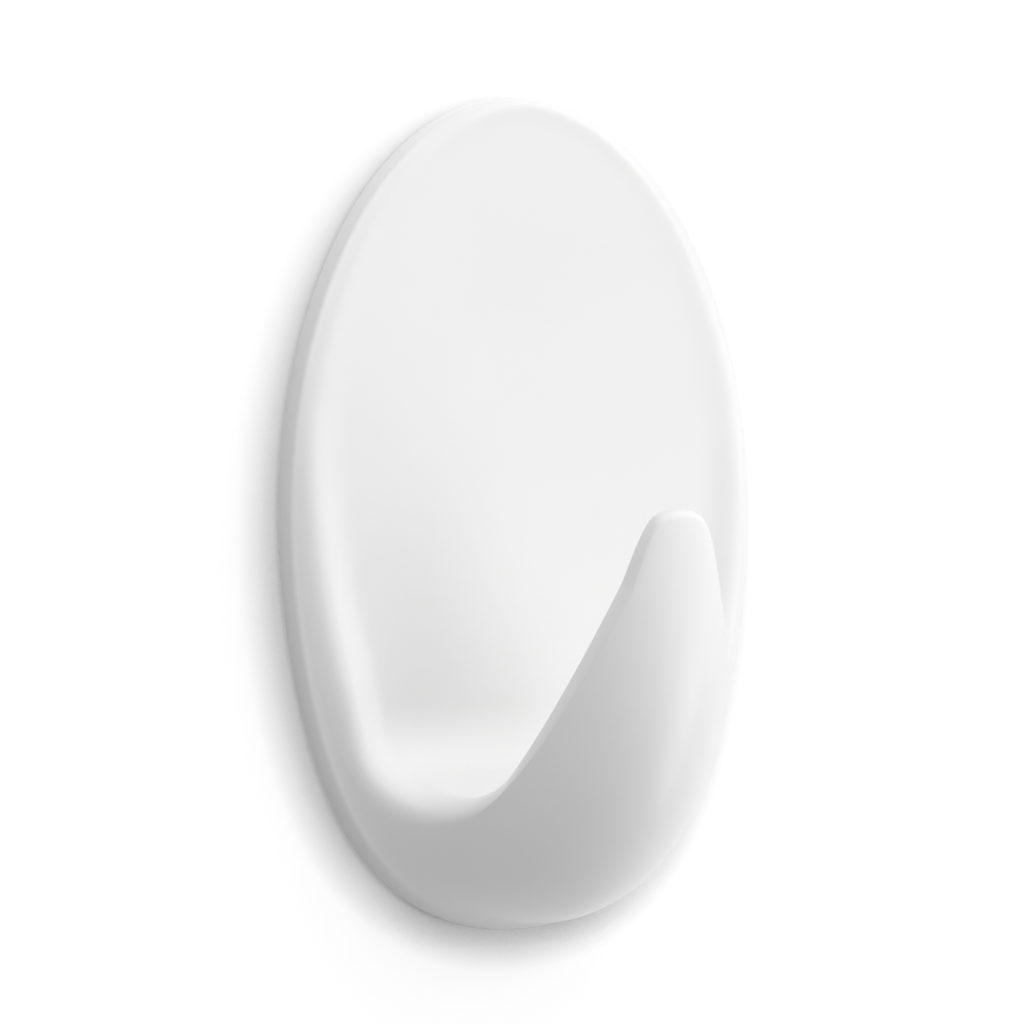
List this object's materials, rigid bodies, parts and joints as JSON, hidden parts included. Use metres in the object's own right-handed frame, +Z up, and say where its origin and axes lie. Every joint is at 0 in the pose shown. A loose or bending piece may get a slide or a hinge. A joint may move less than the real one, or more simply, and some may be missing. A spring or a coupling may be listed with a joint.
{
  "type": "adhesive wall hook",
  "caption": "Oval adhesive wall hook: a scooped front with an upturned hook slides onto a base plate that a stretch-release strip holds on the wall.",
  "frame": {"origin": "the middle of the oval, on the wall side of the strip", "axes": "+X to the right seen from the front, +Z up along the oval, +Y into the wall"},
  "size_m": [0.045, 0.0272, 0.07],
  "materials": {
    "shell_plastic": "satin white moulded plastic with a soft gloss",
    "plate_plastic": "plain matt moulded plastic",
    "strip_foam": "stretchy white strip core",
    "adhesive": "tacky clear adhesive",
    "tab_film": "thin smooth film"
  },
  "bodies": {
    "base": {"base_plate": "plate_plastic", "strip_core": "strip_foam", "plate_adhesive": "adhesive", "wall_adhesive": "adhesive", "tab_film_front": "tab_film", "tab_film_back": "tab_film"},
    "hook": {"hook_shell": "shell_plastic"}
  },
  "joints": [
    {"name": "hook_slide", "type": "slide", "parent": "base", "child": "hook", "axis": [0, 0, 1], "range_m": [0, 0.01]}
  ]
}
